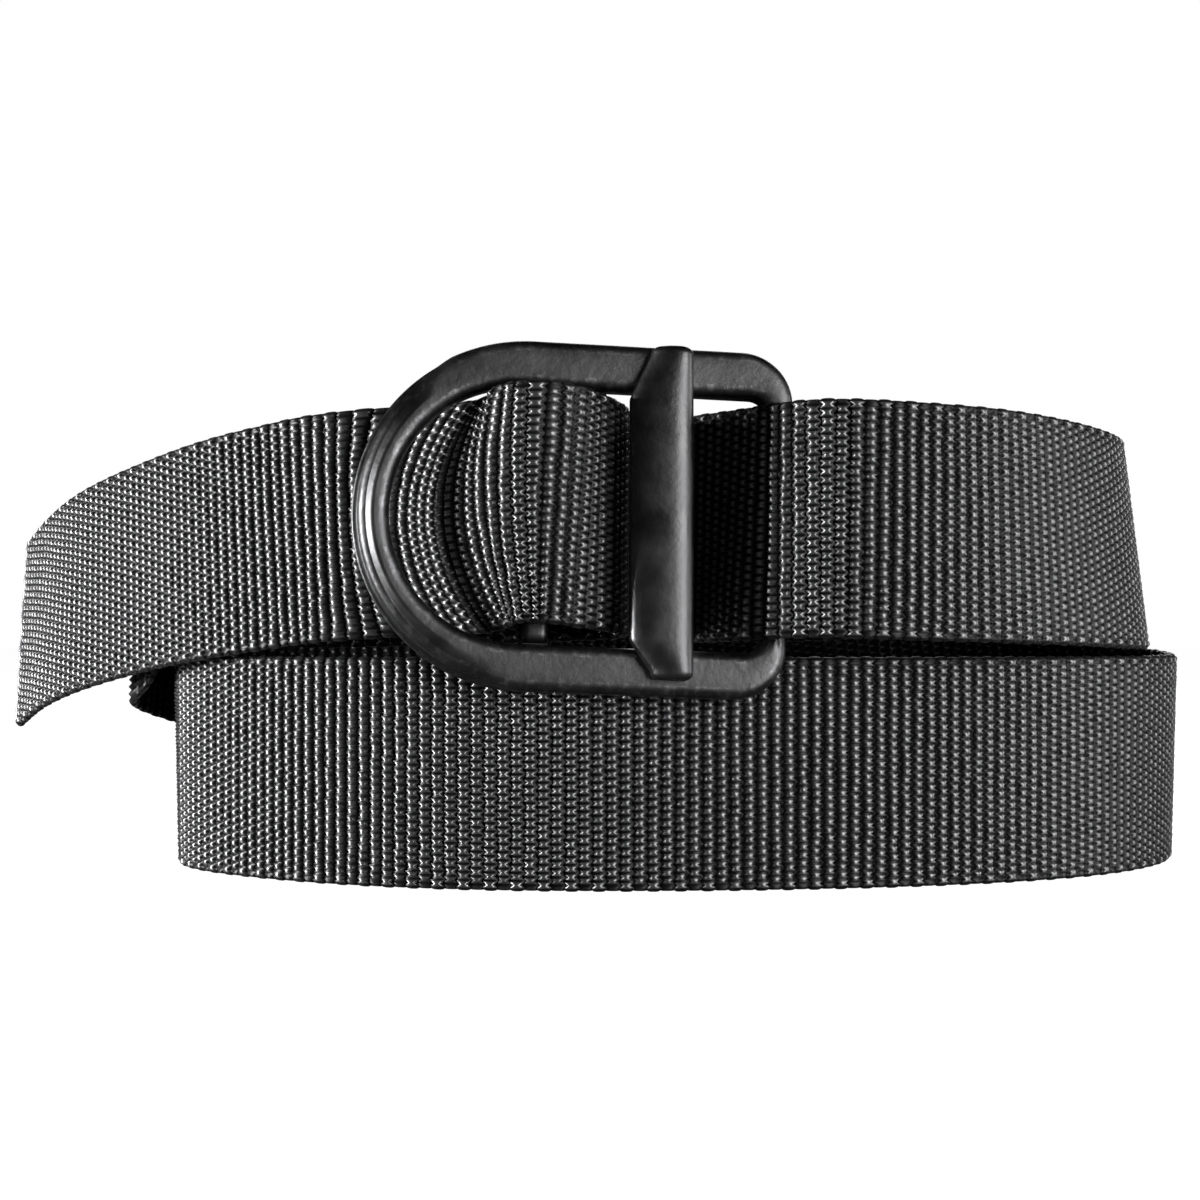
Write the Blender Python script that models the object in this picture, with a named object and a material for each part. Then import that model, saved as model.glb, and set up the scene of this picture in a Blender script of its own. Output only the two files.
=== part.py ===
"""A nylon belt coiled up on its edge, with a D-shaped steel friction buckle.

Metres, +Z up. X runs along the belt's front, to the right for someone who faces it, and Y
goes from the front to the back. The origin is the middle of the belt's box, on the surface
that it stands on. Sizes below are in millimetres, and MM turns them to metres.
"""

import math
from collections import namedtuple

import bmesh
import bpy
import numpy as np
from mathutils import Matrix, Vector

MM = 0.001

# The plan below is drawn from the middle of the lower front, and the model is then centred.
CENTRE_X = -3.88
CENTRE_Y = 46.59

# Webbing
WEBBING_WIDTH = 38.1
WEBBING_THICKNESS = 2.2
STRIPS_ACROSS = 4
TILT_WITH_SLOPE = 0.6
LONGEST_STEP = 5.0
SHARPEST_TURN = math.radians(16)
FINE_STEP = 0.4

# Buckle ring, in its own plane: u to the right, v up, n to the front
RING_LENGTH = 70.2
RING_HEIGHT = 56.2
RING_THICKNESS = 5.0
RING_EDGE_RADIUS = 1.5
WINDOW_HEIGHT = 41.2
ARC_WIDTH = 6.0
RIGHT_BAR_WIDTH = 4.0
OUTER_CORNER_RADIUS = 8.5
INNER_CORNER_RADIUS = 3.0
ARC_STEPS = 24
CORNER_STEPS = 7
LEG_STEPS = 5
BAR_STEPS = 3

# Where the ring stands in the plan, and how it is turned
RING_X = -4.5
RING_Y = -0.4
RING_Z = 60.3
RING_YAW = math.radians(6)
RING_LEAN = math.radians(4.5)
RING_ROLL = math.radians(2.4)

# Crossbar, on the front of the legs
SEAT_GAP = 0.3
CROSSBAR_SKEW = math.radians(1.7)
CROSSBAR_RIGHT = 18.9
CROSSBAR_WIDTH = 10.0
CROSSBAR_END_WIDTH = 6.6
CROSSBAR_HEIGHT = 4.0
CROSSBAR_TOP = 27.6
CROSSBAR_BOTTOM = -25.6
CROSSBAR_TOP_TAPER = 8.5
CROSSBAR_BOTTOM_TAPER = 6.0
CROSSBAR_END_BEVEL = 1.0

# Inner bar, between the legs, that the webbing folds round
INNER_BAR_U = -5.2
INNER_BAR_N = -1.2
INNER_BAR_WIDTH = 4.2
INNER_BAR_DEPTH = 3.0
INNER_BAR_EDGE_RADIUS = 1.2

# The webbing's way, at the middle of its thickness. x and y are its place in the plan, low
# is the height of its lower edge, lean tips the upper edge to the left of its way, in
# degrees, and bow moves both edges to the right where they pass the ring's rounded end.
Fold = namedtuple("Fold", "x y low lean bow")

SEWN_FLAP = (
    Fold(73.4, 13.3, 39.8, -4.0, 0.0),
    Fold(63.7, 5.6, 40.2, -2.5, 0.0),
    Fold(55.0, 1.0, 40.5, -2.0, 0.0),
    Fold(47.3, -0.9, 40.7, -2.0, 0.0),
)
LOOP_ROUND_THE_RIGHT_BAR = (
    Fold(41.4, 1.0, 40.8, -1.0, 0.0),
    Fold(36.4, 6.4, 40.6, 0.0, 0.0),
    Fold(31.2, 13.0, 40.4, 0.0, 0.0),
    Fold(25.0, 18.6, 40.3, 0.0, 0.0),
    Fold(19.0, 19.8, 40.3, 0.0, 0.0),
    Fold(16.0, 16.6, 40.3, 0.0, 0.0),
    Fold(17.6, 11.6, 40.3, 1.5, 0.0),
    Fold(20.9, 6.4, 40.4, 3.5, 0.0),
    Fold(24.0, 1.8, 40.5, 4.5, 0.0),
    Fold(27.2, -1.5, 40.7, 4.5, 0.0),
    Fold(31.0, -3.6, 40.9, 3.5, 0.0),
)
UPPER_FRONT = (
    Fold(35.6, -4.9, 41.0, 2.0, 0.0),
    Fold(41.0, -5.3, 40.9, 1.5, 0.0),
    Fold(47.2, -4.5, 40.7, 1.5, 0.0),
    Fold(53.5, -2.7, 40.5, 1.5, 0.0),
    Fold(65.1, 2.9, 40.2, 2.5, 0.0),
    Fold(75.2, 10.9, 39.8, 4.0, 0.0),
)
UPPER_RIGHT_BEND = (
    Fold(83.9, 20.5, 39.4, 5.5, 0.0),
    Fold(90.9, 31.0, 39.0, 6.5, 0.0),
    Fold(95.1, 42.0, 38.8, 7.0, 0.0),
    Fold(95.0, 54.0, 38.0, 6.5, 0.0),
    Fold(90.2, 66.5, 36.5, 5.0, 0.0),
)
DOWN_ALONG_THE_BACK = (
    Fold(80.5, 78.0, 34.2, 3.5, 0.0),
    Fold(66.0, 87.0, 31.0, 2.0, 0.0),
    Fold(47.0, 93.8, 27.0, 1.0, 0.0),
    Fold(25.0, 96.6, 22.4, 0.0, 0.0),
    Fold(0.0, 96.8, 17.2, 0.0, 0.0),
    Fold(-25.0, 94.8, 12.0, 0.0, 0.0),
    Fold(-44.0, 90.5, 8.0, 0.0, 0.0),
)
LOWER_LEFT_BEND = (
    Fold(-61.0, 82.0, 4.3, -1.0, 0.0),
    Fold(-73.2, 69.0, 1.6, -1.5, 0.0),
    Fold(-77.0, 55.5, 0.3, -1.6, 0.0),
    Fold(-74.3, 42.6, 0.05, -0.6, 0.0),
)
LOWER_FRONT = (
    Fold(-64.0, 29.0, 0.0, 0.0, 0.0),
    Fold(-42.9, 13.6, 0.0, 0.0, 0.0),
    Fold(-18.2, 5.3, 0.0, 0.0, 0.0),
    Fold(8.0, 3.9, 0.0, 0.0, 0.0),
    Fold(34.2, 6.6, 0.0, 0.0, 0.0),
    Fold(59.6, 13.2, 0.0, 0.0, 0.0),
    Fold(82.2, 25.0, 0.0, 0.0, 0.0),
)
LOWER_RIGHT_BEND = (
    Fold(99.4, 43.0, 0.05, -1.0, 0.0),
    Fold(106.2, 58.5, 0.3, -1.5, 0.0),
    Fold(105.8, 73.0, 1.1, -1.5, 0.0),
    Fold(97.5, 85.5, 2.3, -1.0, 0.0),
)
UP_ALONG_THE_BACK = (
    Fold(82.0, 94.4, 3.9, 0.0, 0.0),
    Fold(60.0, 99.4, 6.0, 0.0, 0.0),
    Fold(32.0, 101.4, 9.0, 0.0, 0.0),
    Fold(0.0, 101.4, 12.8, 0.0, 0.0),
    Fold(-30.0, 98.6, 16.4, 0.0, 0.0),
    Fold(-55.0, 92.5, 19.6, 0.0, 0.0),
)
UPPER_LEFT_BEND = (
    Fold(-74.0, 82.8, 22.6, 1.0, 0.0),
    Fold(-84.0, 69.5, 26.2, 1.5, 0.0),
    Fold(-85.9, 57.5, 29.8, 1.5, 0.0),
    Fold(-82.7, 52.4, 34.5, 7.5, 0.0),
    Fold(-79.0, 48.8, 38.3, 12.5, 0.0),
    Fold(-74.6, 45.4, 39.4, 15.0, 0.0),
)
BEHIND_THE_TAIL = (
    Fold(-67.3, 39.6, 39.3, 15.0, 0.0),
    Fold(-53.0, 28.4, 39.3, 7.0, 0.0),
    Fold(-33.0, 19.0, 39.6, 0.0, 0.0),
    Fold(-14.0, 17.0, 40.2, 0.0, 0.0),
)
FOLD_ROUND_THE_INNER_BAR = (
    Fold(-3.0, 16.9, 40.6, 0.0, 0.0),
    Fold(2.4, 15.2, 40.9, 0.0, 0.0),
    Fold(4.0, 10.6, 41.2, 0.0, 0.0),
    Fold(2.9, 5.6, 41.6, -0.5, 0.0),
    Fold(1.1, 0.9, 42.0, -0.5, 0.0),
)
BULGE_IN_THE_WINDOW = (
    Fold(-1.6, -3.4, 42.4, 0.0, 0.0),
    Fold(-5.5, -6.8, 43.1, 1.0, 0.0),
    Fold(-10.7, -8.0, 43.5, 1.5, 0.6),
    Fold(-16.4, -6.4, 43.2, 0.5, 2.2),
    Fold(-22.0, -2.6, 42.2, -1.0, 5.6),
    Fold(-27.0, 1.9, 41.6, -1.0, 7.6),
)
UNDER_THE_ROUNDED_END = (
    Fold(-31.8, 6.2, 41.3, 0.0, 7.0),
    Fold(-38.5, 9.2, 41.0, 0.0, 3.0),
    Fold(-44.2, 11.4, 40.5, 0.0, 0.5),
)
TAIL = (
    Fold(-49.5, 14.4, 40.0, 0.0, 0.0),
    Fold(-57.0, 19.4, 39.0, -0.5, 0.0),
    Fold(-65.0, 25.4, 37.9, -1.0, 0.0),
    Fold(-83.6, 44.8, 34.5, -2.5, 0.0),
    Fold(-97.4, 60.8, 31.0, -4.0, 0.0),
    Fold(-108.0, 76.0, 27.0, -5.5, 0.0),
    Fold(-115.0, 88.0, 23.1, -6.0, 0.0),
)
WEBBING_WAY = (
    SEWN_FLAP
    + LOOP_ROUND_THE_RIGHT_BAR
    + UPPER_FRONT
    + UPPER_RIGHT_BEND
    + DOWN_ALONG_THE_BACK
    + LOWER_LEFT_BEND
    + LOWER_FRONT
    + LOWER_RIGHT_BEND
    + UP_ALONG_THE_BACK
    + UPPER_LEFT_BEND
    + BEHIND_THE_TAIL
    + FOLD_ROUND_THE_INNER_BAR
    + BULGE_IN_THE_WINDOW
    + UNDER_THE_ROUNDED_END
    + TAIL
)


def clear_scene():
    """Starts from an empty scene."""
    for thing in list(bpy.data.objects):
        bpy.data.objects.remove(thing, do_unlink=True)


def material(name, colour, roughness, metallic):
    """A plain Principled material."""
    made = bpy.data.materials.new(name)
    made.use_nodes = True
    shader = made.node_tree.nodes["Principled BSDF"]
    shader.inputs["Base Color"].default_value = (*colour, 1.0)
    shader.inputs["Roughness"].default_value = roughness
    shader.inputs["Metallic"].default_value = metallic
    return made


def smooth_slopes(along, values):
    """Slopes of a curve with even curvature through the values: a natural cubic spline."""
    count = len(values)
    gaps = np.diff(along)
    rises = np.diff(values) / gaps
    matrix = np.zeros((count, count))
    right = np.zeros(count)
    matrix[0, 0], matrix[0, 1], right[0] = 2, 1, 3 * rises[0]
    matrix[-1, -1], matrix[-1, -2], right[-1] = 2, 1, 3 * rises[-1]
    for i in range(1, count - 1):
        matrix[i, i - 1] = gaps[i]
        matrix[i, i] = 2 * (gaps[i - 1] + gaps[i])
        matrix[i, i + 1] = gaps[i - 1]
        right[i] = 3 * (gaps[i] * rises[i - 1] + gaps[i - 1] * rises[i])
    return np.linalg.solve(matrix, right)


def steady_slopes(along, values):
    """Slopes of a curve that never passes beyond the values on either side."""
    rises = np.diff(values) / np.diff(along)
    slopes = np.zeros(len(values))
    slopes[0], slopes[-1] = rises[0], rises[-1]
    for i in range(1, len(values) - 1):
        before, after = rises[i - 1], rises[i]
        if before * after > 0:
            slopes[i] = 2 * before * after / (before + after)
    return slopes


def curve_at(along, values, slopes, wanted):
    """The cubic curve with those values and slopes, at the wanted places."""
    i = np.clip(np.searchsorted(along, wanted, side="right") - 1, 0, len(along) - 2)
    gap = along[i + 1] - along[i]
    t = (wanted - along[i]) / gap
    start = (1 + 2 * t) * (1 - t) ** 2 * values[i] + t * (1 - t) ** 2 * gap * slopes[i]
    end = t**2 * (3 - 2 * t) * values[i + 1] + t**2 * (t - 1) * gap * slopes[i + 1]
    return start + end


def webbing_line():
    """Middle line, width direction, thickness direction and bow along the webbing, finely."""
    table = np.array(WEBBING_WAY, float)
    chords = np.hypot(*np.diff(table[:, :2], axis=0).T)
    along = np.concatenate([[0.0], np.cumsum(chords)])
    wanted = np.linspace(0.0, along[-1], int(along[-1] / FINE_STEP) + 1)
    x, y = (curve_at(along, c, smooth_slopes(along, c), wanted) for c in table.T[:2])
    low, lean, bow = (curve_at(along, c, steady_slopes(along, c), wanted) for c in table.T[2:])
    middle = np.stack([x, y, low + WEBBING_WIDTH / 2], 1)
    way = np.gradient(middle, axis=0)
    way /= np.linalg.norm(way, axis=1)[:, None]
    upright = np.array([0.0, 0.0, 1.0]) - TILT_WITH_SLOPE * way * way[:, 2:]
    upright /= np.linalg.norm(upright, axis=1)[:, None]
    left = np.cross(upright, way)
    left /= np.linalg.norm(left, axis=1)[:, None]
    tip = np.radians(lean)[:, None]
    width_way = np.cos(tip) * upright + np.sin(tip) * left
    thick_way = np.cross(width_way, way)
    thick_way /= np.linalg.norm(thick_way, axis=1)[:, None]
    return middle, width_way, thick_way, bow


def stations(middle):
    """Indices of the sections: closer together where the webbing turns sharply."""
    way = np.gradient(middle, axis=0)
    turns = np.abs(np.diff(np.unwrap(np.arctan2(way[:, 1], way[:, 0]))))
    steps = np.linalg.norm(np.diff(middle, axis=0), axis=1)
    share = np.maximum(steps / LONGEST_STEP, turns / SHARPEST_TURN)
    passed = np.concatenate([[0.0], np.cumsum(share)])
    places = np.linspace(0.0, passed[-1], math.ceil(passed[-1]) + 1)
    return np.unique(np.searchsorted(passed, places).clip(0, len(middle) - 1))


def webbing_sections():
    """The webbing's cross-sections, each a closed ring of points: front up, back down."""
    middle, width_way, thick_way, bow = webbing_line()
    heights = np.linspace(-1.0, 1.0, STRIPS_ACROSS + 1)
    sections = []
    for i in stations(middle):
        faces = []
        for side in (0.5, -0.5):
            across = middle[i] + np.outer(heights, width_way[i]) * WEBBING_WIDTH / 2
            across[:, 0] += bow[i] * heights**2
            faces.append(across + side * WEBBING_THICKNESS * thick_way[i])
        sections.append(np.concatenate([faces[0], faces[1][::-1]]))
    return sections


def loft(name, sections, closed, paint, smooth_angle):
    """One solid through sections of equally many points, in millimetres of the plan."""
    mesh = bmesh.new()
    rings = []
    for section in sections:
        points = [(p[0] - CENTRE_X, p[1] - CENTRE_Y, p[2]) for p in section]
        rings.append([mesh.verts.new(Vector(p) * MM) for p in points])
    pairs = list(zip(rings, rings[1:]))
    if closed:
        pairs.append((rings[-1], rings[0]))
    else:
        mesh.faces.new(rings[0])
        mesh.faces.new(rings[-1])
    count = len(rings[0])
    for one, other in pairs:
        for i in range(count):
            j = (i + 1) % count
            mesh.faces.new((one[i], one[j], other[j], other[i]))
    bmesh.ops.recalc_face_normals(mesh, faces=mesh.faces)
    data = bpy.data.meshes.new(name)
    mesh.to_mesh(data)
    mesh.free()
    data.shade_smooth()
    data.set_sharp_from_angle(angle=smooth_angle)
    data.materials.append(paint)
    thing = bpy.data.objects.new(name, data)
    bpy.context.scene.collection.objects.link(thing)
    return thing


def ring_frame():
    """The buckle's own frame in the plan: columns u, v and n, and its middle."""
    turn = (
        Matrix.Rotation(RING_YAW, 3, "Z")
        @ Matrix.Rotation(-RING_LEAN, 3, "X")
        @ Matrix.Rotation(RING_ROLL, 3, "Y")
    )
    u, up, v = turn.col[0], turn.col[1], turn.col[2]
    return Vector((RING_X, RING_Y, RING_Z)), u, v, -up


def buckle_point(u, v, n):
    """A point of the buckle's own frame, in the plan."""
    middle, u_way, v_way, n_way = ring_frame()
    return middle + u * u_way + v * v_way + n * n_way


def arc(centre, radius, first, last, steps):
    """Points of an arc, without its last one."""
    angles = [math.radians(first + (last - first) * i / steps) for i in range(steps)]
    return [(centre[0] + radius * math.cos(a), centre[1] + radius * math.sin(a)) for a in angles]


def line(first, last, steps):
    """Points of a straight stretch, without its last one."""
    return [
        (first[0] + (last[0] - first[0]) * i / steps, first[1] + (last[1] - first[1]) * i / steps)
        for i in range(steps)
    ]


def d_outline(left, right, half_height, corner):
    """A D on its back: rounded end to the left, two round corners to the right."""
    bend = (left + half_height, 0.0)
    low = (right - corner, corner - half_height)
    high = (right - corner, half_height - corner)
    return (
        arc(bend, half_height, 90, 270, ARC_STEPS)
        + line((bend[0], -half_height), (low[0], -half_height), LEG_STEPS)
        + arc(low, corner, -90, 0, CORNER_STEPS)
        + line((right, low[1]), (right, high[1]), BAR_STEPS)
        + arc(high, corner, 0, 90, CORNER_STEPS)
        + line((high[0], half_height), (bend[0], half_height), LEG_STEPS)
    )


def round_edged_section(width, depth, radius):
    """A rectangle about the origin with three points on each rounded edge."""
    points = []
    corners = ((1, 1, 0), (-1, 1, 90), (-1, -1, 180), (1, -1, 270))
    for side, front, start in corners:
        middle = (side * (width / 2 - radius), front * (depth / 2 - radius))
        for turn in (0, 45, 90):
            angle = math.radians(start + turn)
            points.append(
                (middle[0] + radius * math.cos(angle), middle[1] + radius * math.sin(angle))
            )
    return points


def buckle_ring():
    """The closed ring: legs wider than the rounded end, all edges rounded."""
    half = RING_LENGTH / 2
    outer = d_outline(-half, half, RING_HEIGHT / 2, OUTER_CORNER_RADIUS)
    inner = d_outline(
        ARC_WIDTH - half, half - RIGHT_BAR_WIDTH, WINDOW_HEIGHT / 2, INNER_CORNER_RADIUS
    )
    sections = []
    for out, within in zip(outer, inner):
        across = Vector(out) - Vector(within)
        middle = (Vector(out) + Vector(within)) / 2
        edge = round_edged_section(across.length, RING_THICKNESS, RING_EDGE_RADIUS)
        way = across.normalized()
        places = [(middle + way * w, n) for w, n in edge]
        sections.append([buckle_point(p.x, p.y, n) for p, n in places])
    steel = material("black_steel", (0.03, 0.03, 0.032), 0.38, 0.9)
    return loft("buckle_ring", sections, True, steel, math.radians(50))


def crossbar_section(left, height, v):
    """The crossbar's section: a flat at the right that rounds off to the left."""
    skewed = -v * math.tan(CROSSBAR_SKEW)
    base = RING_THICKNESS / 2 + SEAT_GAP
    right = CROSSBAR_RIGHT
    width = right - left
    # share of the width from the left edge, share of the height
    profile = (
        (1.0, 0.0),
        (1.0, 0.86),
        (0.95, 1.0),
        (0.72, 1.0),
        (0.5, 0.94),
        (0.28, 0.8),
        (0.1, 0.6),
        (0.0, 0.36),
        (0.0, 0.0),
    )
    return [
        buckle_point(left + a * width + skewed, v, base + b * height) for a, b in profile
    ]


def crossbar():
    """The bar across the front of the legs, tapered on its left side at both ends."""
    wide = CROSSBAR_RIGHT - CROSSBAR_WIDTH
    narrow = CROSSBAR_RIGHT - CROSSBAR_END_WIDTH
    bevel = CROSSBAR_END_BEVEL
    low = CROSSBAR_HEIGHT - bevel
    ends = (
        (narrow + bevel, low, CROSSBAR_BOTTOM),
        (narrow, CROSSBAR_HEIGHT, CROSSBAR_BOTTOM + bevel),
        (wide, CROSSBAR_HEIGHT, CROSSBAR_BOTTOM + CROSSBAR_BOTTOM_TAPER),
        (wide, CROSSBAR_HEIGHT, CROSSBAR_TOP - CROSSBAR_TOP_TAPER),
        (narrow, CROSSBAR_HEIGHT, CROSSBAR_TOP - bevel),
        (narrow + bevel, low, CROSSBAR_TOP),
    )
    sections = [crossbar_section(*end) for end in ends]
    steel = material("black_steel_bar", (0.035, 0.035, 0.037), 0.34, 0.9)
    return loft("crossbar", sections, False, steel, math.radians(35))


def inner_bar():
    """The plain bar between the legs that the webbing folds round."""
    edge = round_edged_section(INNER_BAR_WIDTH, INNER_BAR_DEPTH, INNER_BAR_EDGE_RADIUS)
    reach = WINDOW_HEIGHT / 2 - SEAT_GAP
    sections = [
        [buckle_point(INNER_BAR_U + w, v, INNER_BAR_N + n) for w, n in edge]
        for v in (-reach, reach)
    ]
    steel = material("black_steel_inner", (0.03, 0.03, 0.032), 0.45, 0.9)
    return loft("inner_bar", sections, False, steel, math.radians(50))


def webbing():
    """The whole length of webbing as one wall."""
    nylon = material("black_nylon", (0.02, 0.02, 0.022), 0.55, 0.0)
    return loft("webbing", webbing_sections(), False, nylon, math.radians(30))


def build():
    """Builds every piece of the belt."""
    clear_scene()
    webbing()
    buckle_ring()
    crossbar()
    inner_bar()


build()
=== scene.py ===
"""Looks of the coiled nylon belt: woven webbing, melted ends and black steel buckle.

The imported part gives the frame. The webbing follows the same way as the part's solid, with
its ribs and picks as real relief. The buckle's pieces get their rims, grooves and rounded
edges. Lengths are in millimetres, and MM turns them to metres.
"""

import math
from collections import namedtuple

import bpy
import numpy as np
from mathutils import Matrix, Vector


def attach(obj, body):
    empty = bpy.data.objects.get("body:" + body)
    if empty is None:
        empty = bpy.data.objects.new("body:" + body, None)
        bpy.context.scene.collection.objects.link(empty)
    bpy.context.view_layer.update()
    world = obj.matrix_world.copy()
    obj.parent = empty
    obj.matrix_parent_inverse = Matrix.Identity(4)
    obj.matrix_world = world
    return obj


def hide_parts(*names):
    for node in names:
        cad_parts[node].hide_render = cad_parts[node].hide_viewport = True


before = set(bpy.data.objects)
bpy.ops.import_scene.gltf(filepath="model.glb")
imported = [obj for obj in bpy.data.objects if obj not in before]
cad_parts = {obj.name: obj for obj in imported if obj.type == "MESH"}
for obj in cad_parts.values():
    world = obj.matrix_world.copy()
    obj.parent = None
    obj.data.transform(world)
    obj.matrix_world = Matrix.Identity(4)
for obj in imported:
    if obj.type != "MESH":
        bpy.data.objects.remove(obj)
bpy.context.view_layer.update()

MM = 0.001

# The plan is drawn from the middle of the lower front, and the part from its box's middle.
CENTRE_X = -3.88
CENTRE_Y = 46.59

# Webbing: 38 mm belt webbing, one rib to every 2.2 mm and 28 picks across
WEBBING_WIDTH = 38.1
WEBBING_THICKNESS = 2.2
TILT_WITH_SLOPE = 0.6
FINE_STEP = 0.4
RIB_PITCH = 2.2
PICKS_ACROSS = 28
PICK_HEIGHT = 0.76
PICK_HALF_WIDTH = 0.47
PICK_HALF_LENGTH = 0.54
PICK_POINT = 0.24
PICK_FLATNESS = 0.25
RIB_STATIONS = (0.0, 0.1, 0.3, 0.7, 0.9)
RIBS = 525

# Unevenness of the weave
LEAST_FULLNESS = 0.93
MOST_FULLNESS = 1.05
PICK_DRIFT = 0.025
LEFT_FACE_SEED = 11
RIGHT_FACE_SEED = 29

# Selvages: the weft turns there on the even ribs, and their last picks are wider and higher
SELVAGE_MARGIN = 0.45
SELVAGE_BULGE = 0.25
SELVAGE_POINTS = 3
SELVAGE_PICKS = 1.2
EVEN_PICK_WIDER = 0.18
ODD_PICK_WIDER = 0.05
EVEN_PICK_LOWER = -0.1
ODD_PICK_LOWER = 0.45
ODD_RIB_BULGE = 0.45
SELVAGE_FULLNESS = 0.35
SELVAGE_RELIEF = 0.7

# Melted edges of the cut ends
END_POINTS = 120
END_AROUND = 16
END_LENGTH = 0.7
END_INSET = 0.25
END_SWELL = 0.18
END_SWELLS = 24
END_DRAW = 0.3
END_DRAWS = 17
END_SQUARENESS = 20
END_TIP = 0.03
END_SEED = 5

# Studio, in metres and as shares of full light
FLOOR_REACH = 12.0
ROOM_LIGHT = 0.01
FLOOR_LIGHT = 0.03
AT_THE_FRONT = (0.0, -0.03, 0.04)
AT_THE_MIDDLE = (0.0, 0.0, 0.04)

# The narrow light at the left draws the ribs, and the wide one at the right fills the steel
Lamp = namedtuple("Lamp", "name place aim size watts")

LAMPS = (
    Lamp("light_left", (-1.3, -0.25, 0.16), AT_THE_FRONT, (0.2, 0.4), 64),
    Lamp("light_right", (0.78, -0.94, 0.2), AT_THE_FRONT, (0.7, 0.6), 28),
    Lamp("light_far_right", (1.2, -0.05, 0.16), AT_THE_FRONT, (0.3, 0.4), 8),
    Lamp("light_back", (0.2, 1.5, 0.8), AT_THE_MIDDLE, (1.2, 0.8), 9),
    Lamp("light_front", (0.1, -1.6, 0.7), AT_THE_MIDDLE, (1.2, 0.7), 0.15),
)

# Patterns of the materials, in repeats to the millimetre or in millimetres
FILAMENTS_PER_MM = (0.5, 2.9, 0.3)
DUST_PER_MM = (0.12, 0.12, 0.0)
FILAMENT_RELIEF = 0.09
PIT_SIZE = 1.4
PIT_DEPTH = 0.12
COAT_PATCH = 6
LUMP_SIZE = 1
LUMP_HEIGHT = 0.2

# The webbing's way, at the middle of its thickness. x and y are its place in the plan, low
# is the height of its lower edge, lean tips the upper edge to the left of its way, in
# degrees, and bow moves both edges to the right where they pass the ring's rounded end.
Fold = namedtuple("Fold", "x y low lean bow")

SEWN_FLAP = (
    Fold(73.4, 13.3, 39.8, -4.0, 0.0),
    Fold(63.7, 5.6, 40.2, -2.5, 0.0),
    Fold(55.0, 1.0, 40.5, -2.0, 0.0),
    Fold(47.3, -0.9, 40.7, -2.0, 0.0),
)
LOOP_ROUND_THE_RIGHT_BAR = (
    Fold(41.4, 1.0, 40.8, -1.0, 0.0),
    Fold(36.4, 6.4, 40.6, 0.0, 0.0),
    Fold(31.2, 13.0, 40.4, 0.0, 0.0),
    Fold(25.0, 18.6, 40.3, 0.0, 0.0),
    Fold(19.0, 19.8, 40.3, 0.0, 0.0),
    Fold(16.0, 16.6, 40.3, 0.0, 0.0),
    Fold(17.6, 11.6, 40.3, 1.5, 0.0),
    Fold(20.9, 6.4, 40.4, 3.5, 0.0),
    Fold(24.0, 1.8, 40.5, 4.5, 0.0),
    Fold(27.2, -1.5, 40.7, 4.5, 0.0),
    Fold(31.0, -3.6, 40.9, 3.5, 0.0),
)
UPPER_FRONT = (
    Fold(35.6, -4.9, 41.0, 2.0, 0.0),
    Fold(41.0, -5.3, 40.9, 1.5, 0.0),
    Fold(47.2, -4.5, 40.7, 1.5, 0.0),
    Fold(53.5, -2.7, 40.5, 1.5, 0.0),
    Fold(65.1, 2.9, 40.2, 2.5, 0.0),
    Fold(75.2, 10.9, 39.8, 4.0, 0.0),
)
UPPER_RIGHT_BEND = (
    Fold(83.9, 20.5, 39.4, 5.5, 0.0),
    Fold(90.9, 31.0, 39.0, 6.5, 0.0),
    Fold(95.1, 42.0, 38.8, 7.0, 0.0),
    Fold(95.0, 54.0, 38.0, 6.5, 0.0),
    Fold(90.2, 66.5, 36.5, 5.0, 0.0),
)
DOWN_ALONG_THE_BACK = (
    Fold(80.5, 78.0, 34.2, 3.5, 0.0),
    Fold(66.0, 87.0, 31.0, 2.0, 0.0),
    Fold(47.0, 93.8, 27.0, 1.0, 0.0),
    Fold(25.0, 96.6, 22.4, 0.0, 0.0),
    Fold(0.0, 96.8, 17.2, 0.0, 0.0),
    Fold(-25.0, 94.8, 12.0, 0.0, 0.0),
    Fold(-44.0, 90.5, 8.0, 0.0, 0.0),
)
LOWER_LEFT_BEND = (
    Fold(-61.0, 82.0, 4.3, -1.0, 0.0),
    Fold(-73.2, 69.0, 1.6, -1.5, 0.0),
    Fold(-77.0, 55.5, 0.3, -1.6, 0.0),
    Fold(-74.3, 42.6, 0.05, -0.6, 0.0),
)
LOWER_FRONT = (
    Fold(-64.0, 29.0, 0.0, 0.0, 0.0),
    Fold(-42.9, 13.6, 0.0, 0.0, 0.0),
    Fold(-18.2, 5.3, 0.0, 0.0, 0.0),
    Fold(8.0, 3.9, 0.0, 0.0, 0.0),
    Fold(34.2, 6.6, 0.0, 0.0, 0.0),
    Fold(59.6, 13.2, 0.0, 0.0, 0.0),
    Fold(82.2, 25.0, 0.0, 0.0, 0.0),
)
LOWER_RIGHT_BEND = (
    Fold(99.4, 43.0, 0.05, -1.0, 0.0),
    Fold(106.2, 58.5, 0.3, -1.5, 0.0),
    Fold(105.8, 73.0, 1.1, -1.5, 0.0),
    Fold(97.5, 85.5, 2.3, -1.0, 0.0),
)
UP_ALONG_THE_BACK = (
    Fold(82.0, 94.4, 3.9, 0.0, 0.0),
    Fold(60.0, 99.4, 6.0, 0.0, 0.0),
    Fold(32.0, 101.4, 9.0, 0.0, 0.0),
    Fold(0.0, 101.4, 12.8, 0.0, 0.0),
    Fold(-30.0, 98.6, 16.4, 0.0, 0.0),
    Fold(-55.0, 92.5, 19.6, 0.0, 0.0),
)
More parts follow.
